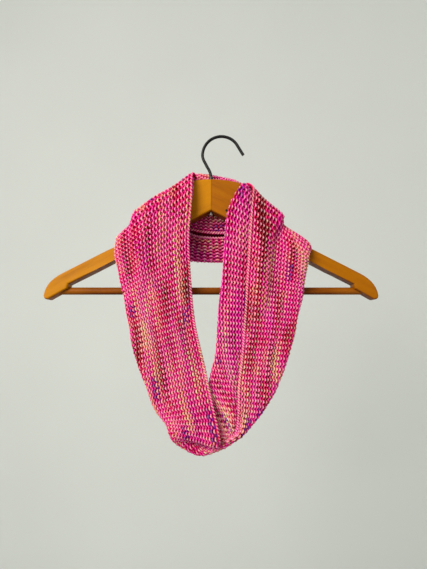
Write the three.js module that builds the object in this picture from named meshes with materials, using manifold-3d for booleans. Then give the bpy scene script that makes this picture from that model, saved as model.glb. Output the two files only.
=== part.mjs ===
// A knitted cowl worn round the neck of a wooden clothes hanger.
// Millimetres, +Z up, the front faces -Y. The origin is the underside of the hook's crown,
// where it rests on the nail or rail that holds it.
import * as THREE from 'three';
import { ParametricGeometry } from 'three/addons/geometries/ParametricGeometry.js';
import { mergeVertices } from 'three/addons/utils/BufferGeometryUtils.js';
import Module from 'manifold-3d';

const wasm = await Module();
wasm.setup();

// ---- driving dimensions ----
const CLEARANCE = 0.3;

const HANGER = {
  centreX: -13.5,
  halfWidth: 215,
  thickness: 19,
  edgeRadius: 2.6,
  neckTopZ: -56.4,
  neckTopRadius: 155,
  neckHalfWidth: 38.5,
  apexZ: -96.8,
  undersideSlope: 0.516,
  shoulderSlope: 0.4985,
};

// The outline of one arm: heights, and distances out from the hanger's centre. The neck's
// flank sweeps down to the straight top edge, which passes through the mark and turns over at
// the nose of the tip. Under the tip a flat pad runs in to a step, where the bar's end goes in.
const FLANK = { cornerInset: 5, cornerDrop: 6.5, lean: 3.5, sweepZ: -90, sweepOut: 72, sweepRise: 18 };
const ARM = { straightFrom: 108, straightTo: 190, markOut: 127, markZ: -145 };
const TIP = { noseOut: 205, noseInset: 2, noseZ: -193, lowestZ: -211.5, corner: 6 };
const PAD = { stepOut: 183, stepLean: 1.7, rise: 14.5 };

const JOINT = { tongueLength: 28, tongueThickness: 8 };

const HOOK = {
  wireRadius: 1.9,
  bendRadius: 24.5,
  bendStartDegrees: 186,
  bendEndDegrees: 24,
  tailLength: 11.5,
  tailFlareDegrees: 8,
  shankEndZ: -98.5,
  shankZs: [-84, -66, -56, -50],
  lean: [[1.6, -44], [6.2, -35.5]],   // how far left the wire has leant at each height
};

const FERRULE = { bottomRadius: 3.3, topRadius: 2.6, foot: 1.4, height: 5.6 };
const CAP = { radius: 2.8, chamfer: 0.7, length: 6.4, floor: 2.2 };
const BRAD = {
  offset: 20, z: -97, headRadius: 1.3, headHeight: 0.8, shankRadius: 0.6, length: 14.5, point: 1.5,
};
const BAR = { radius: 4.7, z: -199.3, socketReach: 203, socketCut: 40 };

const WIRE_SIDES = 14;
const BORE_SIDES = 20;
const BAR_SIDES = 28;
const COWL_SIDES = 20;
const COWL_STEPS = 66;
const STRAIGHT_SPAN = 45;
const PAST = 5;                       // how far a cutter runs past the surface it cuts
const FAR = 300;                      // a distance beyond all of the wood

// ---- geometry helpers ----

/** A closed three.js geometry as a manifold solid. */
function toSolid(geometry) {
  const bare = geometry.clone();
  bare.deleteAttribute('normal');
  bare.deleteAttribute('uv');
  const merged = mergeVertices(bare, 1e-4);
  return new wasm.Manifold(new wasm.Mesh({
    numProp: 3,
    vertProperties: new Float32Array(merged.attributes.position.array),
    triVerts: new Uint32Array(merged.index.array),
  }));
}

/** A manifold solid as a three.js geometry. */
function toGeometry(solid) {
  const mesh = solid.getMesh();
  const geometry = new THREE.BufferGeometry();
  geometry.setAttribute('position', new THREE.BufferAttribute(mesh.vertProperties, 3));
  geometry.setIndex(new THREE.BufferAttribute(mesh.triVerts, 1));
  geometry.computeVertexNormals();
  return geometry;
}

/** A box between two opposite corners. */
function boxBetween(low, high) {
  const size = high.map((value, axis) => value - low[axis]);
  const centre = high.map((value, axis) => (value + low[axis]) / 2);
  return new THREE.BoxGeometry(...size).translate(...centre);
}

/** A round rod of one radius along Y, centred on the origin. */
const rod = (radius, length, sides) => new THREE.CylinderGeometry(radius, radius, length, sides);

/** An upright rod on the hook's axis between two heights. */
function axisRod(radius, bottomZ, topZ) {
  const height = topZ - bottomZ;
  const upright = rod(radius, height, BORE_SIDES).rotateX(Math.PI / 2);
  return upright.translate(HANGER.centreX, 0, bottomZ + height / 2);
}

/** A profile of [radius, height] pairs turned about the Y axis. */
function turned(profile, sides) {
  return new THREE.LatheGeometry(profile.map(([radius, height]) => new THREE.Vector2(radius, height)), sides);
}

/** The same, standing upright on the hook's axis. */
function turnedOnAxis(profile, bottomZ) {
  return turned(profile, BORE_SIDES).rotateX(Math.PI / 2).translate(HANGER.centreX, 0, bottomZ);
}

// ---- the wooden hanger ----

/** Height of the arm's upper edge line at a distance from the centre. */
const shoulderZ = (out) => ARM.markZ - HANGER.shoulderSlope * (out - ARM.markOut);

/** Height of the cap's underside, which closes just below the shank's end. */
const capBottomZ = () => HOOK.shankEndZ - CLEARANCE - CAP.floor;

/** Height of the arm's lower edge line at a distance from the centre. */
const undersideZ = (out) => HANGER.apexZ - HANGER.undersideSlope * out;

/** One side's outline as curves from the neck's top centre round the tip to the apex of the V. */
function sideOutline(side) {
  const { neckTopZ, neckTopRadius, neckHalfWidth, halfWidth } = HANGER;
  const at = (out, z) => new THREE.Vector2(side * out, z);
  const onShoulder = (out) => at(out, shoulderZ(out));
  const cornerOut = neckHalfWidth - FLANK.cornerInset;
  const cornerZ = neckTopZ - cornerOut ** 2 / (2 * neckTopRadius);
  const flankZ = cornerZ - FLANK.cornerDrop;
  const sweepEndZ = shoulderZ(ARM.straightFrom) + FLANK.sweepRise;
  const cornerTopZ = TIP.lowestZ + TIP.corner;
  const padStart = at(halfWidth - TIP.corner, TIP.lowestZ + 1);
  const padEnd = at(PAD.stepOut + PAD.stepLean, TIP.lowestZ + PAD.rise);
  const stepTop = at(PAD.stepOut, undersideZ(PAD.stepOut));
  const outline = new THREE.CurvePath();
  outline.add(new THREE.QuadraticBezierCurve(
    at(0, neckTopZ), at(cornerOut / 2, neckTopZ), at(cornerOut, cornerZ)));
  outline.add(new THREE.QuadraticBezierCurve(
    at(cornerOut, cornerZ), at(neckHalfWidth, cornerZ - 1), at(neckHalfWidth, flankZ)));
  outline.add(new THREE.CubicBezierCurve(
    at(neckHalfWidth, flankZ), at(neckHalfWidth + FLANK.lean, FLANK.sweepZ),
    at(FLANK.sweepOut, sweepEndZ), onShoulder(ARM.straightFrom)));
  outline.add(new THREE.LineCurve(onShoulder(ARM.straightFrom), onShoulder(ARM.straightTo)));
  outline.add(new THREE.CubicBezierCurve(
    onShoulder(ARM.straightTo), onShoulder(TIP.noseOut),
    at(halfWidth - TIP.noseInset, TIP.noseZ), at(halfWidth, cornerTopZ)));
  outline.add(new THREE.QuadraticBezierCurve(
    at(halfWidth, cornerTopZ), at(halfWidth, TIP.lowestZ), padStart));
  outline.add(new THREE.LineCurve(padStart, padEnd));
  outline.add(new THREE.LineCurve(padEnd, stepTop));
  outline.add(new THREE.LineCurve(stepTop, at(0, HANGER.apexZ)));
  return outline;
}

/** Points of a curve path, with curved pieces cut finely and straight ones in long spans. */
function outlinePoints(outline) {
  const points = [];
  for (const curve of outline.curves) {
    const steps = curve.isLineCurve ? Math.ceil(curve.getLength() / STRAIGHT_SPAN) : 7;
    points.push(...curve.getPoints(steps).slice(0, -1));
  }
  return points;
}

/** The whole wooden blank with softened edges, before it is parted at the centre. */
function woodBlank() {
  const right = outlinePoints(sideOutline(1));
  const apex = new THREE.Vector2(0, HANGER.apexZ);
  const left = outlinePoints(sideOutline(-1)).slice(1).reverse();
  const shape = new THREE.Shape([...right, apex, ...left]);
  const { thickness, edgeRadius } = HANGER;
  const blank = new THREE.ExtrudeGeometry(shape, {
    depth: thickness - 2 * edgeRadius,
    bevelEnabled: true,
    bevelThickness: edgeRadius,
    bevelSize: edgeRadius,
    bevelOffset: -edgeRadius,
    bevelSegments: 3,
  });
  blank.rotateX(Math.PI / 2);
  blank.computeBoundingBox();
  const middle = (blank.boundingBox.min.y + blank.boundingBox.max.y) / 2;
  return toSolid(blank.translate(HANGER.centreX, -middle, 0));
}

/** The vertical bore that the hook's shank turns in, widened under the V for the cap. */
function shankBore() {
  const bottomZ = HANGER.apexZ - PAST;
  const bore = axisRod(HOOK.wireRadius + CLEARANCE, bottomZ, HANGER.neckTopZ + PAST);
  const seat = axisRod(CAP.radius + CLEARANCE, bottomZ, capBottomZ() + CAP.length + CLEARANCE);
  return toSolid(bore).add(toSolid(seat));
}

/** The hole that the brad's head and shank sit in. */
function bradHole() {
  const x = HANGER.centreX + BRAD.offset;
  const front = -HANGER.thickness / 2;
  const headDepth = BRAD.headHeight + CLEARANCE;
  const shankDepth = BRAD.length + CLEARANCE;
  const head = rod(BRAD.headRadius + CLEARANCE, headDepth + PAST, BORE_SIDES);
  const shank = rod(BRAD.shankRadius + CLEARANCE, shankDepth, BORE_SIDES);
  head.translate(x, front + (headDepth - PAST) / 2, BRAD.z);
  shank.translate(x, front + shankDepth / 2, BRAD.z);
  return toSolid(head).add(toSolid(shank));
}

/** The blind hole in one arm's end that takes the bar. */
function barSocket(side) {
  const middle = BAR.socketReach + CLEARANCE - BAR.socketCut / 2;
  const socket = rod(BAR.radius + CLEARANCE, BAR.socketCut, BAR_SIDES).rotateZ(Math.PI / 2);
  return toSolid(socket.translate(HANGER.centreX + side * middle, 0, BAR.z));
}

/** The slot or tongue of the centre joint, grown on the tongue's free sides. */
function tongueBox(grow, startX) {
  const half = JOINT.tongueThickness / 2 + grow;
  const endX = HANGER.centreX + JOINT.tongueLength + grow;
  return toSolid(boxBetween([startX, -half, -FAR], [endX, half, FAR]));
}

/** Both arms, parted at the centre and joined by the left arm's tongue in the right arm's slot. */
function woodArms() {
  const blank = woodBlank().subtract(shankBore()).subtract(bradHole());
  const seam = HANGER.centreX;
  const leftSide = toSolid(boxBetween([-FAR, -FAR, -FAR], [seam, FAR, FAR]));
  const rightSide = toSolid(boxBetween([seam + CLEARANCE, -FAR, -FAR], [FAR, FAR, FAR]));
  const tongue = blank.intersect(tongueBox(0, seam - 1));
  const left = blank.intersect(leftSide).add(tongue).subtract(barSocket(-1));
  const right = blank.intersect(rightSide).subtract(tongueBox(CLEARANCE, seam - 1)).subtract(barSocket(1));
  return { left: toGeometry(left), right: toGeometry(right) };
}

/** The round trouser bar held in the two arm ends. */
function trouserBar() {
  const bar = rod(BAR.radius, 2 * BAR.socketReach, BAR_SIDES);
  return bar.rotateZ(Math.PI / 2).translate(HANGER.centreX, 0, BAR.z);
}

/** The small nail that pins the tongue, seen on the front of the neck. */
function neckBrad() {
  const { headRadius, headHeight, shankRadius, length, point } = BRAD;
  const profile = [
    [0, 0], [headRadius, 0], [headRadius, headHeight],
    [shankRadius, headHeight], [shankRadius, length - point], [0, length],
  ];
  return turned(profile, WIRE_SIDES).translate(HANGER.centreX + BRAD.offset, -HANGER.thickness / 2, BRAD.z);
}

// ---- the hook and its fittings ----

/** The wire's centre line: straight shank, a lean to the left, the round bend and a flared tail. */
function hookPath() {
  const { wireRadius, bendRadius, bendStartDegrees, bendEndDegrees, tailLength, tailFlareDegrees } = HOOK;
  const centreZ = wireRadius - bendRadius;
  const points = [];
  for (const z of [HOOK.shankEndZ, ...HOOK.shankZs]) {
    points.push(new THREE.Vector3(HANGER.centreX, 0, z));
  }
  for (const [left, z] of HOOK.lean) {
    points.push(new THREE.Vector3(HANGER.centreX - left, 0, z));
  }
  const bendSteps = 9;
  for (let step = 0; step <= bendSteps; step += 1) {
    const degrees = bendStartDegrees + (bendEndDegrees - bendStartDegrees) * step / bendSteps;
    const angle = THREE.MathUtils.degToRad(degrees);
    points.push(new THREE.Vector3(bendRadius * Math.cos(angle), 0, centreZ + bendRadius * Math.sin(angle)));
  }
  const heading = THREE.MathUtils.degToRad(bendEndDegrees - 90 + tailFlareDegrees);
  const tailStart = points[points.length - 1];
  points.push(new THREE.Vector3(
    tailStart.x + tailLength * Math.cos(heading), 0, tailStart.z + tailLength * Math.sin(heading)));
  return new THREE.CatmullRomCurve3(points);
}

/** The bent wire, from its end in the cap to the tail. */
function hookWire() {
  const section = new THREE.Shape().absarc(0, 0, HOOK.wireRadius, 0, 2 * Math.PI);
  return new THREE.ExtrudeGeometry(section, {
    extrudePath: hookPath(), steps: 60, bevelEnabled: false, curveSegments: WIRE_SIDES / 2,
  });
}

/** The tapered steel collar that the wire stands in on top of the neck. */
function hookFerrule() {
  const inner = HOOK.wireRadius + CLEARANCE;
  const { bottomRadius, topRadius, foot, height } = FERRULE;
  const profile = [
    [inner, 0], [bottomRadius, 0], [bottomRadius, foot],
    [topRadius, height], [inner, height], [inner, 0],
  ];
  return turnedOnAxis(profile, HANGER.neckTopZ + CLEARANCE);
}

/** The steel cap fixed on the shank's lower end, under the V, that stops the hook pulling out. */
function shankCap() {
  const inner = HOOK.wireRadius + CLEARANCE;
  const { radius, chamfer, length, floor } = CAP;
  const profile = [
    [0, 0], [radius - chamfer, 0], [radius, chamfer],
    [radius, length], [inner, length], [inner, floor], [0, floor],
  ];
  return turnedOnAxis(profile, capBottomZ());
}

// ---- the knitted cowl ----

const EDGE_ROUNDING = 0.8;            // under 1 keeps the tube's folded edges blunt

// The cowl is one closed band, rolled into a flat tube. Each station gives the tube's edge beside
// the neck or window, its outer edge, how far its middle swells from the line between them,
// and its thickness. They run from behind the neck, down the left side and up the right.
const COWL_STATIONS = [
  { inner: [-13.5, 18, -47], outer: [-13.5, 19, -158], swell: [0, 0, 0], thick: 14 },
  { inner: [-31, 17.5, -47.5], outer: [-62, 19, -153], swell: [0, 1, 0], thick: 13 },
  { inner: [-40, 12, -47.5], outer: [-120, 18, -146], swell: [-3, 2, 6], thick: 12 },
  { inner: [-40, 0, -48], outer: [-140, 0, -132], swell: [-2, 0, 10], thick: 12 },
  { inner: [-38, -15, -54], outer: [-140, -16, -142], swell: [-3, -4, 7], thick: 12 },
  { inner: [-38, -20, -84], outer: [-136, -21, -160], swell: [0, -3, 0], thick: 14 },
  { inner: [-41, -21, -125], outer: [-131, -21, -179], swell: [0, -3, 0], thick: 14 },
  { inner: [-39, -21, -180], outer: [-124, -21, -214], swell: [0, -3, 0], thick: 14 },
  { inner: [-33, -21, -240], outer: [-112, -21, -266], swell: [0, -3, 0], thick: 15 },
  { inner: [-22, -20, -294], outer: [-90, -20, -330], swell: [0, -3, 0], thick: 17 },
  { inner: [-15, -20, -311], outer: [-60, -20, -385], swell: [0, -3, 0], thick: 20 },
  { inner: [-11, -20, -315], outer: [-27, -20, -404], swell: [0, -3, 0], thick: 22 },
  { inner: [-8, -20, -311], outer: [9, -20, -396], swell: [0, -3, 0], thick: 20 },
  { inner: [-6, -20, -290], outer: [48, -20, -350], swell: [0, -3, 0], thick: 17 },
  { inner: [-3, -21, -245], outer: [83, -21, -274], swell: [0, -3, 0], thick: 15 },
  { inner: [1, -21, -190], outer: [100, -21, -214], swell: [0, -3, 0], thick: 14 },
  { inner: [5, -21, -135], outer: [107, -21, -180], swell: [0, -3, 0], thick: 14 },
  { inner: [12, -20, -92], outer: [113, -21, -161], swell: [0, -3, 0], thick: 14 },
  { inner: [23, -17, -66], outer: [118, -18, -148], swell: [1, -2, 1], thick: 12 },
  { inner: [33, 0, -55], outer: [120, 0, -139], swell: [1, 0, 4], thick: 12 },
  { inner: [22, 15, -49], outer: [96, 19, -149], swell: [2, 2, 4], thick: 12 },
  { inner: [3, 17.5, -47.5], outer: [40, 19, -158], swell: [0, 1, 0], thick: 13 },
];

/** A closed smooth curve through one named triple of every station. */
function stationCurve(name) {
  const points = COWL_STATIONS.map((station) => new THREE.Vector3(...station[name]));
  return new THREE.CatmullRomCurve3(points, true);
}

const innerCurve = stationCurve('inner');
const outerCurve = stationCurve('outer');
const swellCurve = stationCurve('swell');
const thickCurve = new THREE.CatmullRomCurve3(
  COWL_STATIONS.map(({ thick }) => new THREE.Vector3(thick, 0, 0)), true);

/** A point of the tube's middle surface: along is round the loop, across runs inner edge to outer edge. */
function cowlMiddle(along, across) {
  const wrapped = along - Math.floor(along);
  const point = innerCurve.getPoint(wrapped).lerp(outerCurve.getPoint(wrapped), across);
  return point.addScaledVector(swellCurve.getPoint(wrapped), 4 * across * (1 - across));
}

/** The tube's skin: along is round the loop, turn is round the flat section. */
function cowlSkin(turn, along, target) {
  const angle = 2 * Math.PI * turn;
  const across = 0.5 - 0.5 * Math.sign(Math.cos(angle)) * Math.abs(Math.cos(angle)) ** EDGE_ROUNDING;
  const nudge = 0.004;
  const forward = cowlMiddle(along + nudge, 0.5).sub(cowlMiddle(along - nudge, 0.5));
  const sideways = cowlMiddle(along, 1).sub(cowlMiddle(along, 0));
  const normal = sideways.cross(forward).normalize();
  const wrapped = along - Math.floor(along);
  const half = thickCurve.getPoint(wrapped).x / 2;
  target.copy(cowlMiddle(along, across)).addScaledVector(normal, half * Math.sin(angle));
}

/** The cowl as one closed ring. */
function cowlRing() {
  return toGeometry(toSolid(new ParametricGeometry(cowlSkin, COWL_SIDES, COWL_STEPS)));
}

// ---- assembly ----

/** A named mesh with its own material. */
function piece(name, geometry, color, roughness, metalness) {
  const mesh = new THREE.Mesh(geometry, new THREE.MeshStandardMaterial({ color, roughness, metalness }));
  mesh.name = name;
  return mesh;
}

const arms = woodArms();
const group = new THREE.Group();
group.name = 'cowl_on_hanger';
group.add(
  piece('hook', hookWire(), 0x2b2b2a, 0.38, 0.85),
  piece('hook_ferrule', hookFerrule(), 0x6f6f6c, 0.35, 0.9),
  piece('shank_cap', shankCap(), 0xb4b4b0, 0.3, 0.95),
  piece('left_arm', arms.left, 0xc8902a, 0.42, 0),
  piece('right_arm', arms.right, 0xb67a1c, 0.42, 0),
  piece('neck_brad', neckBrad(), 0x4a3420, 0.5, 0.6),
  piece('trouser_bar', trouserBar(), 0x9a5a10, 0.45, 0),
  piece('cowl', cowlRing(), 0xe0267e, 0.95, 0),
);

export default group;
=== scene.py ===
"""Looks for the knitted cowl on its wooden hanger: knit, wood, metal, stage, lights and camera."""
import math

import bpy
import numpy as np
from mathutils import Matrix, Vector


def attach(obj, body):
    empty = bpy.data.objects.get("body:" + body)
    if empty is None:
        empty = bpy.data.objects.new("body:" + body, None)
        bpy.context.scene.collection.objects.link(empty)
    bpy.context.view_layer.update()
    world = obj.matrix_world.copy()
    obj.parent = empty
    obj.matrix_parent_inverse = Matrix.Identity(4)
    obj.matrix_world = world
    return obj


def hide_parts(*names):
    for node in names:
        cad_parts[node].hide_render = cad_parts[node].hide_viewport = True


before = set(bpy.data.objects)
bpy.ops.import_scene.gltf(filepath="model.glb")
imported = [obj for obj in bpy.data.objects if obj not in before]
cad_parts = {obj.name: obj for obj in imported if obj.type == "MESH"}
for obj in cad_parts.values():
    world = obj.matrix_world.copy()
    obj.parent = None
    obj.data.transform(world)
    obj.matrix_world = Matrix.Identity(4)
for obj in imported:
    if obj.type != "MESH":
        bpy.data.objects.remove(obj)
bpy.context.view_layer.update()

MM = 0.001

# ---- the cowl's measures, in millimetres ----
BAND_WIDTH = 223.0
BAND_LOOP = 890.0            # length round the loop, laid flat
ROWS = 57                    # courses across the band; each one runs right round the loop
STITCHES = 134               # loops in one course
YARN_RADIUS = 1.2
CLOTH_THICKNESS = 2 * YARN_RADIUS + 2    # one layer of knitting

# The loop of one stitch: how far it swings across the rows, leans along them and sinks
# into the cloth, as shares of the row pitch, the stitch length and the yarn radius.
LOOP_REACH = 0.72
LOOP_LEAN = 0.14
LOOP_DEPTH = 0.80
LOOP_TILT = 0.25             # how far a loop's head stands up and its foot sinks, in yarn radii
POINTS_PER_STITCH = 10
YARN_SIDES = 6

# No two stitches are quite alike: the spread of their place and reach, and how much of such
# a spread the yarn's thickness shows.
YARN_SEED = 4
STITCH_WANDER = 0.035
THICKNESS_WANDER = 0.9

# The two strands twisted along each edge of the band. The sway, rise and radius are in yarn
# radii; outset and lift are how far their middle lies beyond the edge and over the cloth.
CHAIN_SWAY = 0.95
CHAIN_RISE = 0.75
CHAIN_RADIUS = 0.88
CHAIN_OUTSET = 0.5
CHAIN_LIFT = 0.6
CHAIN_PAINTED_LIGHT_SHARE = 0.9         # the share of their height that counts for the painted highlight and painted shade in their colour
CHAIN_INSET = 0.12           # in rows from the edge

KNIT_PIECES = 5              # the courses are shared out over this many meshes
STRIP_MARGIN = 0.06          # the share of its texture strip left free on each side of a yarn
WEB_DEPTH = -1.1             # where the sheet that closes the gaps between the loops lies: a stand-in for the fuzz there, darkened with painted shade
SURFACE_STEPS = 4            # samples of the cloth surface per stitch and per row
LARGEST_FOLD = 7.0           # radius of the folds along the tube's two edges
EDGE_OVERLAP = 4.2           # how far the band's end lies under its own first edge
OVERLAP_RAMP = 13            # the width of cloth over which it sinks there
SOFTENING = 6                # rounds of smoothing that take the corners off the cloth


# ---- the cowl's surface ----
#
# The band is rolled lengthwise into a flat tube with its purl side out. Each section of the
# tube has a front layer from its inner to its outer edge, a fold, a back layer, and a fold
# at the inner edge. A section lists both layers' ends, so that the front layer can hang
# below the back one where the tube turns at the bottom.
#   front, back: (inner end, outer end) of each layer's middle
#   swell: how far the middle of both layers stands off the straight line
#   width: the width of cloth in one layer
#   lead: where the band's first edge lies, from the inner fold towards the front layer

def flat_section(inner, outer, swell, thick, width, lead):
    """A section whose two layers lie face to face; thick is measured over the outside of both."""
    return {
        "inner": np.array(inner, float), "outer": np.array(outer, float),
        "swell": np.array(swell, float), "hollow": np.zeros(3),
        "apart": thick - CLOTH_THICKNESS, "width": width, "lead": lead,
    }


def turned_section(front_in, front_out, back_in, back_out, width, lead, swell=0.0, hollow=0.0):
    """A section at the bottom turn, where the layers part; hollow sinks the front layer's middle."""
    return {
        "front": (np.array(front_in, float), np.array(front_out, float)),
        "back": (np.array(back_in, float), np.array(back_out, float)),
        "swell": np.array((0.0, swell, 0.0)), "hollow": np.array((0.0, hollow, 0.0)),
        "width": width, "lead": lead,
    }


SECTIONS = [
    # behind the neck, going left
    flat_section((-13.5, 18, -43), (-13.5, 19, -158), (0, 0, 0), 14, 109.5, -76),
    flat_section((-32, 17.5, -41.5), (-62, 19, -153), (0, 1, 0), 13, 109.5, -69),
    flat_section((-35.5, 12, -45), (-117, 18, -145), (-3, 2, 1), 12, 107, -29),
    # over the left shoulder
    flat_section((-35, 0, -49.5), (-134, 0, -133), (-1, 0, 0), 11.5, 103, -2),
    flat_section((-35.5, -15, -56), (-133.5, -16, -142), (-1, -4, 1), 12, 101, 3),
    # down the left strand
    flat_section((-38, -20, -84), (-132, -21, -157), (0, -3, 0), 14, 100, 4),
    flat_section((-41, -21, -125), (-127.5, -21, -179), (0, -3, 0), 14, 99, 4),
    flat_section((-39, -21, -180), (-121, -21, -214), (0, -3, 0), 14, 98, 4),
    flat_section((-33, -21, -240), (-111.5, -21, -266), (0, -3, 0), 14, 98, 5),
    turned_section((-19.5, -25.5, -294), (-96, -25, -316), (-21, -15, -298), (-96, -15, -316),
                   86, 6, -2.5),
    turned_section((-10.5, -28.5, -337), (-82, -26.5, -355), (-18, -14.5, -330), (-82, -15, -355),
                   78, 6, -2.5),
    turned_section((-4.5, -31.5, -366), (-70, -28.5, -368), (-16, -14, -343), (-69, -15, -372), 73, 6, -1),
    # the lip where the left front layer turns under, and the sling below it
    turned_section((-1, -33.5, -386), (-66, -30, -376), (-15, -13, -349), (-64, -12, -385), 70, 6),
    turned_section((0, -33, -394), (-64, -29, -383), (-14, -10, -350), (-61, -8, -391), 70, 6),
    turned_section((-3, -17, -386), (-57, -20, -391), (-14, -3, -350.5), (-54, -5, -399), 69, 11, 0, 3),
    turned_section((-1, -14, -383), (-26, -27, -408.5), (-14, 2, -351), (-26, -5, -407.5), 66, 26, 2, 4),
    turned_section((0, -15, -384), (3, -22, -400.5), (-14, -1, -350), (3, -7, -400), 67, 44, 1, 2),
    # up the right strand
    turned_section((-10, -15, -382), (20, -21, -389), (-14, -6, -346), (20, -10, -389), 72, 60, 0, 1),
    turned_section((-17, -15.5, -356), (45, -22, -362), (-16, -8.5, -337), (45, -14, -362), 82, 53, -1),
    turned_section((-17, -18.5, -322), (65, -24, -331), (-16, -12, -318), (64, -15, -331), 93, 46.5, -1.5),
    turned_section((-8, -22, -286), (80, -25, -290), (-8, -15, -285), (80, -15, -290), 101, 41, -2),
    flat_section((-4, -21, -243), (91.5, -21, -250), (0, -3, 0), 14, 104, 38),
    flat_section((1.5, -21, -188), (100.5, -21, -206), (0, -3, 0), 14, 105, 35),
    flat_section((5, -21, -135), (104.5, -21, -176), (0, -3, 0), 14, 105, 34),
    flat_section((12, -20, -92), (108, -21, -159), (0, -3, 0), 14, 105, 30),
    # over the right shoulder and back behind the neck
    flat_section((24, -17, -69), (111, -18, -150), (0, -3, 0), 11, 105, 18),
    flat_section((32, 0, -61), (112, 0, -143), (0, 0, -1), 10, 106, 4),
    flat_section((23, 15, -51), (93, 19, -150), (1, 2, 0), 12, 107, -33),
    flat_section((5, 17.5, -46), (40, 19, -158), (0, 1, 0), 13, 109.5, -68),
]

# Lengthwise folds where one part of the front layer rides over the next. Each runs between
# two sections; at is its distance from the inner fold, and the cloth stands up before it
# and dips after it, over a step as wide as over says.
PLEATS = [
    {"sections": (1.2, 7.2), "at": 76, "rise": 8.5, "before": 56, "dip": 0.5, "after": 24, "over": 16},
    {"sections": (21.0, 27.5), "at": 62, "rise": 5.0, "before": 40, "dip": 4.5, "after": 40, "over": 9},
]
PLEAT_GROWTH = 1.2           # how many sections a fold takes to form
PLEAT_FADING = 1.6           # and to fade away

# The cloth's slight unevenness: waves of these heights and about these lengths.
RIPPLES = [
    {"height": 0.9, "seed": 11, "along": 190, "across": 95},
    {"height": 0.45, "seed": 12, "along": 70, "across": 45},
]
RIPPLE_WAVES = 9


def unit(vectors):
    return vectors / np.maximum(np.linalg.norm(vectors, axis=-1, keepdims=True), 1e-9)


def smoothstep(value):
    value = np.clip(value, 0, 1)
    return value * value * (3 - 2 * value)


def layer_ends(index):
    """The ends of a section's front and back layers."""
    section = SECTIONS[index]
    if "front" in section:
        return section["front"], section["back"]
    before, after = SECTIONS[index - 1], SECTIONS[(index + 1) % len(SECTIONS)]

    def middle(of):
        if "inner" in of:
            return (of["inner"] + of["outer"]) / 2
        return sum(of["front"] + of["back"]) / 4

    sideways = section["outer"] - section["inner"]
    outward = unit(np.cross(sideways, middle(after) - middle(before)))
    half = outward * section["apart"] / 2
    front = (section["inner"] + half, section["outer"] + half)
    back = (section["inner"] - half, section["outer"] - half)
    return front, back


def section_numbers(index):
    """One section as a row: its four layer ends, swell and hollow, then the width and the lead."""
    section = SECTIONS[index]
    front, back = layer_ends(index)
    vectors = [*front, *back, section["swell"], section["hollow"]]
    return np.concatenate([*vectors, [section["width"], section["lead"]]])


def section_vectors(sections):
    """The six vectors of every row of sections: the four layer ends, the swell and the hollow."""
    return np.moveaxis(sections[:, :-2].reshape(len(sections), -1, 3), 1, 0)


def fold_radius(sections):
    """The radius of the folds, half the distance between the layers' outer ends."""
    _, front_out, _, back_out, _, _ = section_vectors(sections)
    return np.minimum(0.5 * np.linalg.norm(front_out - back_out, axis=1), LARGEST_FOLD)


def tube_girth(sections):
    """The length of cloth that goes once round the tube."""
    fold = fold_radius(sections)
    return 2 * (sections[:, -2] - 2 * fold) + 2 * math.pi * fold


def tube_points(sections, across):
    """Points of the rolled band: for every row of sections, a line of points across the band."""
    front_in, front_out, back_in, back_out, swell, hollow = section_vectors(sections)[:, :, None]
    fold = fold_radius(sections)[:, None]
    flat = sections[:, -2:-1] - 2 * fold
    quarter = math.pi * fold / 2
    place = (sections[:, -1:] + across[None, :]) % (2 * flat + 4 * quarter)
    outward = unit((front_out + back_out) - (front_in + back_in)) * fold[..., None]

    def on_layer(inner, outer, stand, share):
        share = share[..., None]
        straight = inner * (1 - share) + outer * share
        return straight + outward * (1 - 2 * share) + stand * 4 * share * (1 - share)

    def on_fold(layer_a, layer_b, way, angle):
        angle = angle[..., None]
        centre = (layer_a + layer_b) / 2 - way * outward
        return centre + (layer_a - layer_b) / 2 * np.sin(angle) + way * outward * np.cos(angle)

    front_end = quarter + flat
    back_start = front_end + 2 * quarter
    back_end = back_start + flat
    stretches = [
        (place < quarter, on_fold(front_in, back_in, -1, place / fold)),
        (place < front_end, on_layer(front_in, front_out, swell + hollow, (place - quarter) / flat)),
        (place < back_start, on_fold(front_out, back_out, 1, math.pi / 2 - (place - front_end) / fold)),
        (place < back_end, on_layer(back_in, back_out, swell, 1 - (place - back_start) / flat)),
        (place >= back_end, on_fold(front_in, back_in, -1, -math.pi / 2 + (place - back_end) / fold)),
    ]
    where = [here[..., None] for here, _ in stretches]
    return np.select(where, [points for _, points in stretches])


def closed_spline(values, knots, at):
    """Smooth values round a loop of length 1, given at rising knots."""
    count = len(knots)
    spans = np.diff(np.append(knots, knots[0] + 1))
    shape = (count,) + (1,) * (values.ndim - 1)
    slopes = (np.roll(values, -1, 0) - values) / spans.reshape(shape)
    before = np.roll(spans, 1).reshape(shape)
    after = spans.reshape(shape)
    tangents = (np.roll(slopes, 1, 0) * after + slopes * before) / (before + after)
    at = (at - knots[0]) % 1 + knots[0]
    index = np.searchsorted(knots, at, side="right") - 1
    following = (index + 1) % count
    span = spans[index]
    share = ((at - knots[index]) / span).reshape((-1,) + (1,) * (values.ndim - 1))
    span = span.reshape(share.shape)
    square, cube = share ** 2, share ** 3
    return (
        values[index] * (2 * cube - 3 * square + 1)
        + tangents[index] * span * (cube - 2 * square + share)
        + values[following] * (3 * square - 2 * cube)
        + tangents[following] * span * (cube - square)
    )


def ripple(along, across, seed, along_mm, across_mm):
    """Smooth random waves over the cloth, about -1 to 1, that close up round the loop."""
    chance = np.random.RandomState(seed)
    total = np.zeros(np.broadcast(along, across).shape)
    for _ in range(RIPPLE_WAVES):
        waves = max(1, round(chance.uniform(0.5, 1.6) * BAND_LOOP / along_mm))
        crossing = chance.uniform(-1.3, 1.3) * BAND_WIDTH / across_mm
        turn = chance.uniform(0, 2 * math.pi)
        total += np.sin(2 * math.pi * (waves * along + crossing * across / BAND_WIDTH) + turn)
    return total / math.sqrt(RIPPLE_WAVES)


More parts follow.
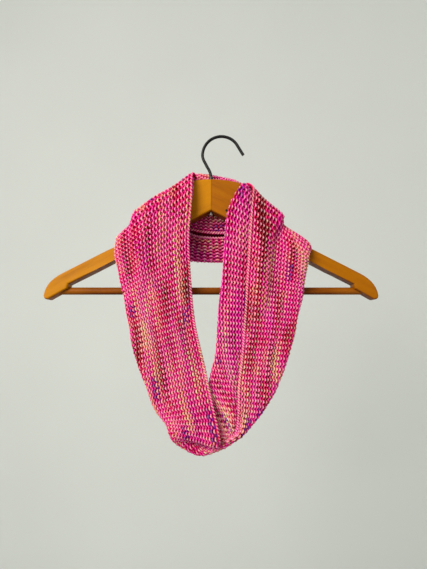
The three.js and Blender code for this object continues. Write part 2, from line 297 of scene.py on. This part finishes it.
def surface_normals(grid):
    along = np.roll(grid, -1, 0) - np.roll(grid, 1, 0)
    across = np.gradient(grid, axis=1)
    return unit(np.cross(across, along))


def soften(grid, rounds):
    """Rounds off the cloth along the loop and across it, keeping its edges."""
    for _ in range(rounds):
        grid = 0.5 * grid + 0.25 * (np.roll(grid, 1, 0) + np.roll(grid, -1, 0))
        inner = 0.5 * grid[:, 1:-1] + 0.25 * (grid[:, :-2] + grid[:, 2:])
        grid = np.concatenate([grid[:, :1], inner, grid[:, -1:]], axis=1)
    return grid


def cowl_surface():
    """The middle of the cloth as a grid, round the loop and then across the band, with its normals."""
    across = np.linspace(0, BAND_WIDTH, ROWS * SURFACE_STEPS + 1)
    listed = np.array([section_numbers(i) for i in range(len(SECTIONS))])
    ends = section_vectors(listed)[:4]
    steps = np.sqrt((np.linalg.norm(np.roll(ends, -1, 1) - ends, axis=-1) ** 2).mean(0))
    knots = np.append(0, np.cumsum(steps)[:-1]) / steps.sum()
    along = np.arange(STITCHES * SURFACE_STEPS) / (STITCHES * SURFACE_STEPS)
    sections = closed_spline(listed, knots, along)
    grid = soften(tube_points(sections, across), SOFTENING)
    girth = tube_girth(sections)[:, None]
    place = sections[:, -1:] + across[None, :]
    # where the band has gone right round, it lies under its own first edge
    past_edge = across[None, :] - girth
    lift = -EDGE_OVERLAP * smoothstep((past_edge + OVERLAP_RAMP) / OVERLAP_RAMP)
    for wave in RIPPLES:
        waves = ripple(along[:, None], across[None, :], wave["seed"], wave["along"], wave["across"])
        lift += wave["height"] * waves
    section = np.interp(along, knots, np.arange(len(knots)))[:, None]
    for pleat in PLEATS:
        lift += pleat_lift(pleat, place, section)
    grid = grid + surface_normals(grid) * lift[..., None]
    return grid, surface_normals(grid)


def pleat_lift(pleat, place, section):
    """How far one lengthwise fold lifts the cloth at a place across the tube and along it."""
    first, last = pleat["sections"]
    fade = smoothstep((section - first) / PLEAT_GROWTH) * smoothstep((last - section) / PLEAT_FADING)
    ahead = place - pleat["at"]
    step = smoothstep(ahead / pleat["over"] + 0.5)
    up = pleat["rise"] * smoothstep(1 + ahead / pleat["before"]) * (1 - step)
    down = pleat["dip"] * (1 - smoothstep(ahead / pleat["after"])) * step
    return (up - down) * fade


def on_surface(grid, stitch, row):
    """Values of a surface grid at places given in stitches round the loop and rows across."""
    rows_high = grid.shape[1] - 1
    u = (np.asarray(stitch) * SURFACE_STEPS) % grid.shape[0]
    v = np.clip(np.asarray(row) * SURFACE_STEPS, 0, rows_high - 1e-6)
    u0, v0 = np.floor(u).astype(int), np.floor(v).astype(int)
    fu, fv = (u - u0)[..., None], (v - v0)[..., None]
    u0 = u0 % grid.shape[0]
    u1 = (u0 + 1) % grid.shape[0]
    return (
        grid[u0, v0] * (1 - fu) * (1 - fv) + grid[u1, v0] * fu * (1 - fv)
        + grid[u0, v0 + 1] * (1 - fu) * fv + grid[u1, v0 + 1] * fu * fv
    )


# ---- yarn ----

def yarn_tube(points, normals, radius):
    """Rings of vertices round a closed yarn: an array of points, sides, xyz."""
    along = unit(np.roll(points, -1, 0) - np.roll(points, 1, 0))
    side = unit(np.cross(along, normals))
    up = np.cross(side, along)
    angles = np.arange(YARN_SIDES) * 2 * math.pi / YARN_SIDES
    ring = np.cos(angles)[None, :, None] * up[:, None] + np.sin(angles)[None, :, None] * side[:, None]
    return points[:, None] + ring * np.asarray(radius)[:, None, None]


def tube_faces(points, first):
    """Quads of one closed tube whose vertices start at first."""
    ring = np.arange(points)[:, None]
    corner = np.arange(YARN_SIDES)[None, :]
    after, beside = (ring + 1) % points, (corner + 1) % YARN_SIDES
    quads = np.stack([
        ring * YARN_SIDES + corner,
        after * YARN_SIDES + corner,
        after * YARN_SIDES + beside,
        ring * YARN_SIDES + beside,
    ], axis=-1)
    return quads.reshape(-1, 4) + first


def stitch_course(surface, normals, row, chance):
    """The yarn of one course: its centre line, the cloth's normals, its radius and its height there."""
    count = STITCHES * POINTS_PER_STITCH
    turn = np.arange(count) * 2 * math.pi / POINTS_PER_STITCH
    wander = np.repeat(chance.normal(0, STITCH_WANDER, (STITCHES, 3)), POINTS_PER_STITCH, axis=0)
    stitch = turn / (2 * math.pi) + LOOP_LEAN * np.sin(2 * turn) + wander[:, 0]
    across = row + 0.5 + LOOP_REACH * (1 + wander[:, 1]) * np.cos(turn)
    depth = LOOP_DEPTH * YARN_RADIUS * np.cos(2 * turn)
    depth += LOOP_TILT * YARN_RADIUS * np.cos(turn)
    points = on_surface(surface, stitch, across)
    facing = unit(on_surface(normals, stitch, across))
    radius = YARN_RADIUS * (1 + THICKNESS_WANDER * wander[:, 2])
    return points + facing * depth[:, None], facing, radius, depth


def edge_chain(surface, normals, row, phase):
    """One of the two strands that cross each other along a bound-off edge."""
    count = STITCHES * POINTS_PER_STITCH
    turn = np.arange(count) * 2 * math.pi / POINTS_PER_STITCH
    stitch = turn / (2 * math.pi)
    points = on_surface(surface, stitch, np.full(count, float(row)))
    facing = unit(on_surface(normals, stitch, np.full(count, float(row))))
    inside = on_surface(surface, stitch, np.full(count, row + (1.0 if row < ROWS / 2 else -1.0)))
    sideways = unit(points - inside)
    sway = CHAIN_SWAY * YARN_RADIUS * np.sin(turn + phase) + CHAIN_OUTSET
    rise = CHAIN_RISE * YARN_RADIUS * np.cos(turn + phase) + CHAIN_LIFT
    radius = np.full(count, CHAIN_RADIUS * YARN_RADIUS)
    centre_line = points + sideways * sway[:, None] + facing * rise[:, None]
    return centre_line, facing, radius, CHAIN_PAINTED_LIGHT_SHARE * rise


def yarn_mesh(name, courses, material):
    """One mesh of several closed yarns: each has its centre line, normals, radius, height and row."""
    vertices, faces = [], []
    rows_of, along_of, round_of, height_of = [], [], [], []
    angles = np.arange(YARN_SIDES) * 2 * math.pi / YARN_SIDES
    first = 0
    for points, normals, radius, depth, row in courses:
        rings = yarn_tube(points, normals, radius)
        vertices.append(rings.reshape(-1, 3))
        faces.append(tube_faces(len(points), first))
        first += len(points) * YARN_SIDES
        rows_of.append(np.full(len(points) * YARN_SIDES, row))
        along_of.append(np.repeat(np.arange(len(points)) / len(points), YARN_SIDES))
        round_of.append(np.tile(np.arange(YARN_SIDES) / YARN_SIDES, len(points)))
        heights = depth[:, None] + np.asarray(radius)[:, None] * np.cos(angles)[None, :]
        height_of.append(heights.ravel() / (2 * YARN_RADIUS))
    vertices, faces = np.concatenate(vertices) * MM, np.concatenate(faces)
    mesh = bpy.data.meshes.new(name)
    mesh.vertices.add(len(vertices))
    mesh.vertices.foreach_set("co", vertices.astype(np.float32).ravel())
    mesh.loops.add(faces.size)
    mesh.loops.foreach_set("vertex_index", faces.astype(np.int32).ravel())
    mesh.polygons.add(len(faces))
    mesh.polygons.foreach_set("loop_start", np.arange(0, faces.size, 4, dtype=np.int32))
    mesh.update(calc_edges=True)
    mesh.polygons.foreach_set("use_smooth", np.ones(len(faces), bool))
    lay_out(mesh, faces, len(courses), first // len(courses))
    set_attribute(mesh, "yarn_row", np.concatenate(rows_of))
    set_attribute(mesh, "yarn_place", np.concatenate(along_of))
    set_attribute(mesh, "yarn_round", np.concatenate(round_of))
    set_attribute(mesh, "yarn_height", np.concatenate(height_of))
    mesh.materials.append(material)
    return add_object(name, mesh)


def set_attribute(mesh, name, values):
    attribute = mesh.attributes.new(name, "FLOAT", "POINT")
    attribute.data.foreach_set("value", values.astype(np.float32))


def lay_out(mesh, faces, strips, strip_vertices):
    """Texture coordinates with one level strip for each yarn."""
    strip = faces // strip_vertices
    inside = faces % strip_vertices
    ring, corner = inside // YARN_SIDES, inside % YARN_SIDES
    rings = strip_vertices // YARN_SIDES
    # the last ring and the last corner meet the first ones, so they run on past them
    ring = np.where((ring == 0) & (ring[:, :1] == rings - 1), rings, ring)
    corner = np.where((corner == 0) & (corner[:, :1] == YARN_SIDES - 1), YARN_SIDES, corner)
    u = ring / rings
    v = (strip + STRIP_MARGIN + (1 - 2 * STRIP_MARGIN) * corner / YARN_SIDES) / strips
    layer = mesh.uv_layers.new(name="OFBake")
    layer.data.foreach_set("uv", np.stack([u, v], axis=-1).astype(np.float32).ravel())


def add_object(name, mesh):
    made = bpy.data.objects.new(name, mesh)
    bpy.context.scene.collection.objects.link(made)
    return made


def fuzz_and_shade_web(surface, normals, material):
    """A thin sheet just inside the loops, a stand-in for the fuzz between them that carries painted shade,
    with two faces to a stitch and two to a row.
    """
    step = SURFACE_STEPS // 2
    grid = (surface + normals * WEB_DEPTH)[::step, ::step]
    around, over = grid.shape[:2]
    i = np.arange(around)[:, None]
    j = np.arange(over - 1)[None, :]
    after = (i + 1) % around
    quads = np.stack([i * over + j, after * over + j, after * over + j + 1, i * over + j + 1], axis=-1)
    mesh = bpy.data.meshes.new("cowl_web")
    mesh.from_pydata((grid.reshape(-1, 3) * MM).tolist(), [], quads.reshape(-1, 4).tolist())
    mesh.polygons.foreach_set("use_smooth", np.ones(len(mesh.polygons), bool))
    rows_of = np.tile(np.arange(over) * step / SURFACE_STEPS, around)
    set_attribute(mesh, "yarn_row", rows_of)
    set_attribute(mesh, "yarn_place", np.repeat(np.arange(around) / around, over))
    mesh.materials.append(material)
    return add_object("cowl_web", mesh)


# ---- materials ----

class Material:
    """A node material with short calls for the nodes it needs."""

    def __init__(self, name):
        self.material = bpy.data.materials.new(name)
        self.material.use_nodes = True
        self.tree = self.material.node_tree
        self.shader = self.tree.nodes["Principled BSDF"]

    def node(self, kind, settings=None, **inputs):
        made = self.tree.nodes.new("ShaderNode" + kind)
        for key, value in (settings or {}).items():
            setattr(made, key, value)
        for key, value in inputs.items():
            socket = int(key[1:]) if key[1:].isdigit() else key.replace("_", " ")
            self.feed(made.inputs[socket], value)
        return made

    def feed(self, socket, value):
        if isinstance(value, bpy.types.NodeSocket):
            self.tree.links.new(value, socket)
        else:
            socket.default_value = value

    def surface(self, **values):
        for key, value in values.items():
            self.feed(self.shader.inputs[key.replace("_", " ")], value)

    def maths(self, operation, first, second=0.0, clamp=False):
        return self.node("Math", {"operation": operation, "use_clamp": clamp}, i0=first, i1=second).outputs[0]

    def spread(self, value, low, high, to_low=0.0, to_high=1.0):
        made = self.node("MapRange", {"clamp": True}, Value=value)
        for key, number in (("From Min", low), ("From Max", high), ("To Min", to_low), ("To Max", to_high)):
            made.inputs[key].default_value = number
        return made.outputs[0]

    def ramp(self, value, stops):
        made = self.node("ValToRGB", Fac=value)
        elements = made.color_ramp.elements
        while len(elements) < len(stops):
            elements.new(0.5)
        for element, (place, colour) in zip(elements, stops):
            element.position = place
            element.color = (*linear(colour), 1)
        return made.outputs["Color"]

    def mix(self, share, first, second, blend="MIX"):
        made = self.node("Mix", {"data_type": "RGBA", "blend_type": blend})
        self.feed(made.inputs[0], share)
        for socket, value in ((made.inputs[6], first), (made.inputs[7], second)):
            self.feed(socket, (*linear(value), 1) if isinstance(value, str) else value)
        return made.outputs[2]

    def noise(self, vector, scale, detail=2.0, rough=0.5):
        made = self.node("TexNoise", Vector=vector, Scale=scale, Detail=detail, Roughness=rough)
        return made.outputs["Fac"]

    def place(self, turn=(0, 0, 0), stretch=(1, 1, 1)):
        """Positions on the object in metres, turned and then stretched."""
        found = self.node("TexCoord").outputs["Object"]
        turned = self.node("Mapping", {"vector_type": "POINT"}, Vector=found, Rotation=turn).outputs[0]
        return self.node("Mapping", {"vector_type": "POINT"}, Vector=turned, Scale=stretch).outputs[0]

    def bump(self, height, distance, strength=1.0):
        return self.node("Bump", Height=height, Distance=distance, Strength=strength).outputs[0]


def linear(colour):
    """A '#rrggbb' colour as linear red, green and blue."""
    parts = [int(colour[i:i + 2], 16) / 255 for i in (1, 3, 5)]
    return [c / 12.92 if c <= 0.04045 else ((c + 0.055) / 1.055) ** 2.4 for c in parts]


def varnished_wood(name, slope_degrees, light, dark, deep, pale_ends=None):
    """Amber varnished beech with its grain running along the piece, and painted shade on its faces that turn
    downwards.

    Pale_ends gives a centre and a half length in metres, beyond which the wood is paler.
    """
    made = Material(name)
    turn = (0, math.radians(slope_degrees), 0)
    grain_stretch, broad_stretch, pore_stretch = (9, 130, 130), (5, 22, 30), (90, 1300, 1300)
    grain = made.noise(made.place(turn, grain_stretch), 1.0, 5.0, 0.6)
    broad = made.noise(made.place(turn, broad_stretch), 1.0, 3.0, 0.55)
    pores = made.noise(made.place(turn, pore_stretch), 1.0, 2.0, 0.6)
    flecks = made.spread(pores, 0.60, 0.74)
    tone = made.maths("ADD", made.maths("MULTIPLY", grain, 0.55), made.maths("MULTIPLY", broad, 0.45))
    colour = made.ramp(made.spread(tone, 0.26, 0.74), [(0.0, deep), (0.38, dark), (1.0, light)])
    colour = made.mix(made.maths("MULTIPLY", flecks, 0.22), colour, deep)
    # Painted shade: the faces that turn downwards are darkened.
    facing = made.node("SeparateXYZ", i0=made.node("NewGeometry").outputs["Normal"])
    painted_underside_shade = made.spread(facing.outputs["Z"], -0.9, -0.4, 0.85, 0.0)
    colour = made.mix(painted_underside_shade, colour, "#8c5030", "MULTIPLY")
    if pale_ends is not None:
        centre, half_length = pale_ends
        along = made.node("SeparateXYZ", i0=made.place()).outputs["X"]
        from_centre = made.maths("ABSOLUTE", made.maths("SUBTRACT", along, centre))
        pale = made.spread(from_centre, half_length - 0.01, half_length + 0.012, 0.0, 0.5)
        colour = made.mix(pale, colour, light)
    wear = made.noise(made.place((0, 0, 0), (160, 160, 160)), 1.0, 4.0, 0.6)
    roughness = made.spread(wear, 0.35, 0.7, 0.36, 0.54)
    made.surface(Base_Color=colour, Roughness=roughness, Coat_Weight=0.02, Coat_Roughness=0.25,
                 Specular_IOR_Level=0.07)
    height = made.maths("ADD", made.maths("MULTIPLY", grain, 0.5), made.maths("MULTIPLY", flecks, -0.6))
    made.surface(Normal=made.bump(height, 0.00025, 0.5))
    return made.material


def lacquered_wire():
    """Black enamel over steel wire, thin and rubbed in places."""
    made = Material("hook_lacquer")
    place = made.place()
    rubbed = made.spread(made.noise(place, 420.0, 4.0, 0.65), 0.62, 0.72)
    colour = made.mix(made.maths("MULTIPLY", rubbed, 0.6), "#050505", "#2c2824")
    roughness = made.spread(made.noise(place, 160.0, 3.0), 0.3, 0.7, 0.34, 0.55)
    made.surface(Base_Color=colour, Roughness=roughness, Metallic=made.maths("MULTIPLY", rubbed, 0.5),
                 Specular_IOR_Level=0.22)
    made.surface(Normal=made.bump(made.noise(place, 900.0, 3.0), 0.00008, 0.5))
    return made.material


def dull_steel(name, light, dark, scale):
    """Bare steel with cloudy stains; scale is about how many of them a metre holds."""
    made = Material(name)
    place = made.place()
    stain = made.noise(place, scale, 5.0, 0.65)
    colour = made.ramp(made.spread(stain, 0.3, 0.72), [(0.0, dark), (1.0, light)])
    roughness = made.spread(made.noise(place, scale * 2.3, 3.0), 0.3, 0.7, 0.28, 0.55)
    made.surface(Base_Color=colour, Roughness=roughness, Metallic=0.85)
    made.surface(Normal=made.bump(stain, 0.0001, 0.4))
    return made.material


def colour_runs(made, row, place, per_loop, per_row, shift):
    """Noise that runs along the yarn: so many changes round the loop and from row to row."""
    at = made.node("CombineXYZ", X=made.maths("MULTIPLY", place, per_loop),
                   Y=made.maths("MULTIPLY", row, per_row), Z=shift)
    return made.noise(at.outputs[0], 1.0, 1.0, 0.55)


def dyed_colour(made, row, place):
    """The hand-dyed colour along each yarn, and how purple it is there.

    The broadest runs pool over two or three rows, and the others change from row to row.
    """

    def runs(per_loop, per_row, shift):
        return colour_runs(made, row, place, per_loop, per_row, shift)

    tone = made.maths("MULTIPLY", runs(9.0, 0.38, 0.0), 0.50)
    tone = made.maths("ADD", tone, made.maths("MULTIPLY", runs(5.0, 1.9, 23.4), 0.33))
    tone = made.maths("ADD", tone, made.maths("MULTIPLY", runs(55.0, 1.7, 3.1), 0.17))
    dyed = made.ramp(made.spread(tone, 0.375, 0.625), [
        (0.00, "#7c001e"), (0.15, "#b00030"), (0.29, "#e00a5c"), (0.42, "#f41488"), (0.53, "#fa2ea6"),
        (0.63, "#fa5aa6"), (0.73, "#fa8888"), (0.86, "#f4b488"), (1.00, "#e6cc9c"),
    ])
    last_rows = made.spread(row, 41.0, 48.0, 0.0, 0.15)
    magenta = made.spread(made.maths("ADD", runs(15.0, 0.7, 11.6), last_rows), 0.56, 0.66)
    dyed = made.mix(made.maths("MULTIPLY", magenta, 0.8), dyed, "#f014b0")
    purple = made.spread(runs(13.0, 0.8, 7.3), 0.67, 0.71)
    return made.mix(purple, dyed, "#780c92"), purple


def wool(name, shade=None):
    """Plied wool: the dyed colour with painted shade deep between the loops and a painted highlight where
    they stand out, fibre, and twist with painted shade in its grooves.

    With a shade it is the sheet behind the loops, a stand-in for the fuzz there, darkened with that colour as
    painted shade; it has neither painted highlights nor twist.
    """
    made = Material(name)
    row = made.node("Attribute", {"attribute_name": "yarn_row"}).outputs["Fac"]
    place = made.node("Attribute", {"attribute_name": "yarn_place"}).outputs["Fac"]
    colour, purple = dyed_colour(made, row, place)
    fibre = made.noise(made.place(), 2600.0, 2.0, 0.6)
    colour = made.mix(0.35, colour, made.ramp(fibre, [(0.3, "#a88c92"), (0.7, "#ffffff")]), "MULTIPLY")
    if shade is not None:
        # Painted shade: the web is darkened to stand for the shade inside the knit.
        colour = made.mix(0.72, colour, shade, "MULTIPLY")
        made.surface(Base_Color=colour, Roughness=made.spread(fibre, 0.3, 0.7, 0.85, 0.98),
                     Specular_IOR_Level=0.05)
        return made.material
    height = made.node("Attribute", {"attribute_name": "yarn_height"}).outputs["Fac"]
    # Painted shade: the yarn is darkened where it lies deep between the loops.
    colour = made.mix(made.spread(height, -0.3, 0.68, 0.95, 0.0), colour, "#c0043c", "MULTIPLY")
    # Painted highlight: the highest yarn is lightened towards a pale pink that turns to peach in places, less
    # where the yarn is purple.
    highlight_cream_share = made.spread(colour_runs(made, row, place, 24.0, 0.9, 41.0), 0.42, 0.58)
    pale = made.mix(highlight_cream_share, "#ffc6d6", "#ffe2c2")
    painted_top_highlight = made.spread(height, 0.62, 1.0, 0.0, 0.70)
    painted_top_highlight = made.maths("MULTIPLY", painted_top_highlight, made.spread(purple, 0.0, 1.0, 1.0, 0.3))
    colour = made.mix(painted_top_highlight, colour, pale)
    around = made.node("Attribute", {"attribute_name": "yarn_round"}).outputs["Fac"]
    turns_per_stitch, plies = 5.0, 3
    twist = made.maths("ADD", made.maths("MULTIPLY", place, STITCHES * turns_per_stitch), around)
    ply = made.maths("SINE", made.maths("MULTIPLY", twist, plies * 2 * math.pi))
    groove = made.spread(ply, -1.0, 0.2)
    # Painted shade: the grooves between the plies are darkened; the same grooves also drive the bump below.
    colour = made.mix(0.22, colour, made.ramp(groove, [(0.0, "#a03848"), (1.0, "#ffffff")]), "MULTIPLY")
    made.surface(Base_Color=colour, Roughness=made.spread(fibre, 0.3, 0.7, 0.42, 0.62),
                 Specular_IOR_Level=0.06, Sheen_Weight=0.01, Sheen_Roughness=0.5)
    relief = made.maths("ADD", groove, made.maths("MULTIPLY", fibre, 0.5))
    made.surface(Normal=made.bump(relief, 0.00025, 0.6))
    return made.material


def painted_plaster(name, colour, shade):
    """A matt pale paint with broad faint clouds and a fine grain."""
    made = Material(name)
    place = made.place()
    broad = made.noise(place, 1.6, 2.0, 0.5)
    fine = made.noise(place, 220.0, 3.0, 0.6)
    made.surface(Base_Color=made.mix(made.spread(broad, 0.3, 0.7), colour, shade), Roughness=0.9,
                 Specular_IOR_Level=0.2)
    made.surface(Normal=made.bump(fine, 0.0006, 0.25))
    return made.material


# ---- the pieces ----

ARM_SLOPE = 26.5             # degrees that the arms fall from the neck
HANGER_CENTRE = -0.0135      # metres to the right of the hook's crown
BAR_PALE_FROM = 0.162        # metres from the hanger's centre


def finish_cad_pieces():
    """Real materials on the CAD nodes that keep their shape."""
    finishes = {
        "left_arm": varnished_wood("left_wood", ARM_SLOPE, "#bd7c04", "#ae6e00", "#8a5000"),
        # The right arm has the same wood as the left, with darker tones as painted shade where the window's
        # light falls off.
        "right_arm": varnished_wood("right_wood", -ARM_SLOPE, "#a46400", "#945400", "#703c00"),
        "trouser_bar": varnished_wood("bar_wood", 0.0, "#94540a", "#6e3600", "#441c00",
                                      pale_ends=(HANGER_CENTRE, BAR_PALE_FROM)),
        "hook": lacquered_wire(),
        "shank_cap": dull_steel("cap_steel", "#b9b6b0", "#6d6a66", 500.0),
        "hook_ferrule": dull_steel("ferrule_steel", "#4a4744", "#242322", 420.0),
        "neck_brad": dull_steel("brad_steel", "#3c332c", "#1d1713", 700.0),
    }
    for node, material in finishes.items():
        for material_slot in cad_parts[node].material_slots:
            material_slot.material = material


def make_cowl():
    """The knit as real yarn, over a thin web darkened with painted shade, which closes it."""
    surface, normals = cowl_surface()
    # The dark red given here is the web's painted shade.
    web = fuzz_and_shade_web(surface, normals, wool("wool_web", "#7a0820"))
    yarn = wool("wool_yarn")
    chance = np.random.RandomState(YARN_SEED)
    courses = []
    for row in range(ROWS):
        courses.append((*stitch_course(surface, normals, row, chance), float(row)))
    share = math.ceil(ROWS / KNIT_PIECES)
    pieces = [
        yarn_mesh(f"knit_courses_{part + 1}", courses[part * share:(part + 1) * share], yarn)
        for part in range(KNIT_PIECES)
    ]
    for name, row in (("first_edge_chain", CHAIN_INSET), ("last_edge_chain", ROWS - CHAIN_INSET)):
        # each strand is dyed as a row of its own
        strands = []
        for phase in (0.0, math.pi):
            strands.append((*edge_chain(surface, normals, row, phase), row + phase))
        pieces.append(yarn_mesh(name, strands, yarn))
    for piece in [web, *pieces]:
        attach(piece, "cowl")
    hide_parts("cowl")


# ---- stage, lights and camera ----

def plane(name, corner_a, corner_b, corner_c, corner_d, material):
    mesh = bpy.data.meshes.new(name)
    mesh.from_pydata([corner_a, corner_b, corner_c, corner_d], [], [(0, 1, 2, 3)])
    mesh.materials.append(material)
    made = add_object(name, mesh)
    return made


def make_stage():
    """A pale floor well below the cowl, and a pale wall well behind it."""
    low, back, reach, top = -1.25, 1.25, 9.0, 5.0
    corner_left, corner_right = (-reach, back, low), (reach, back, low)
    plane("stage_floor", (-reach, -reach, low), (reach, -reach, low), corner_right, corner_left,
          painted_plaster("floor_paint", "#d2d5d2", "#ced1ce"))
    plane("stage_wall", corner_left, corner_right, (reach, back, top), (-reach, back, top),
          painted_plaster("wall_paint", "#d7dad7", "#d3d6d3"))


def area_light(name, place, target, size, power, colour):
    """A soft rectangle of light that faces its target."""
    data = bpy.data.lights.new(name, "AREA")
    data.shape = "RECTANGLE"
    data.size, data.size_y = size
    data.energy = power
    data.color = linear(colour)
    made = bpy.data.objects.new(name, data)
    bpy.context.scene.collection.objects.link(made)
    made.location = place
    made.rotation_euler = (Vector(target) - Vector(place)).to_track_quat("-Z", "Y").to_euler()


def sun_light(name, towards, strength, soft_degrees, colour):
    """A broad soft light that reaches the whole stage evenly, coming from the side named."""
    data = bpy.data.lights.new(name, "SUN")
    data.energy = strength
    data.angle = math.radians(soft_degrees)
    data.color = linear(colour)
    made = bpy.data.objects.new(name, data)
    bpy.context.scene.collection.objects.link(made)
    made.rotation_euler = Vector(towards).to_track_quat("Z", "Y").to_euler()


def make_lights():
    """A soft window at the front left, a broad light on that side and one from behind."""
    centre = (0.0, 0.0, -0.2)
    area_light("window_light", (-0.8, -1.22, 0.42), centre, (0.8, 1.0), 27, "#fffaf2")
    sun_light("key_sun", (-0.8, -1.0, 0.8), 0.6, 50, "#fffdf8")
    sun_light("back_sun", (0.5, 1.0, 0.9), 0.95, 70, "#f8f8f6")
    world = bpy.data.worlds.new("studio")
    bpy.context.scene.world = world
    world.use_nodes = True
    background = world.node_tree.nodes["Background"]
    background.inputs["Color"].default_value = (*linear("#e8e9e3"), 1)
    background.inputs["Strength"].default_value = 0.68


def make_camera():
    """A level camera straight in front, a little below the middle of the cowl."""
    data = bpy.data.cameras.new("camera")
    data.sensor_width = 36
    data.lens = 27.19
    data.shift_y = 0.0888
    made = bpy.data.objects.new("camera", data)
    bpy.context.scene.collection.objects.link(made)
    made.location = (-0.0103, -0.5595, -0.2565)
    made.rotation_euler = (math.radians(90), 0, 0)
    bpy.context.scene.camera = made


bpy.context.scene.view_settings.view_transform = "Standard"
finish_cad_pieces()
make_cowl()
make_stage()
make_lights()
make_camera()
